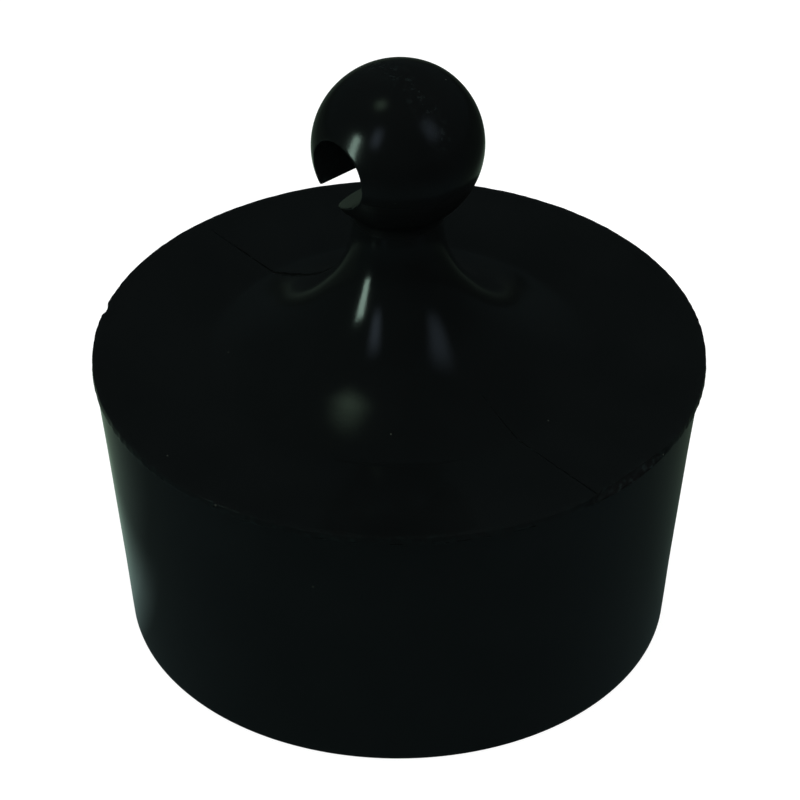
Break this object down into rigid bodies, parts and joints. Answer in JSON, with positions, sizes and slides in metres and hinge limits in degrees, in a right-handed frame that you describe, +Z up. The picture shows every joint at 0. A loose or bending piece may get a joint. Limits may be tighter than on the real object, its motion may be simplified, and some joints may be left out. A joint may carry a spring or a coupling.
{
  "type": "drain stopper",
  "caption": "Tapered black rubber drain stopper whose flared neck ends in a hook ball, for lifting it by hand or hanging it on a chain ring.",
  "frame": {"origin": "middle of the flat underside", "axes": "+Z up along the stopper's axis, +Y along the hole through the ball, the hook's slot opens towards -X"},
  "size_m": [0.0452, 0.0452, 0.0468],
  "materials": {
    "black_rubber": "satin, moulded"
  },
  "bodies": {
    "root": {"tapered_plug": "black_rubber", "flared_top": "black_rubber", "hook_ball": "black_rubber"}
  },
  "joints": []
}
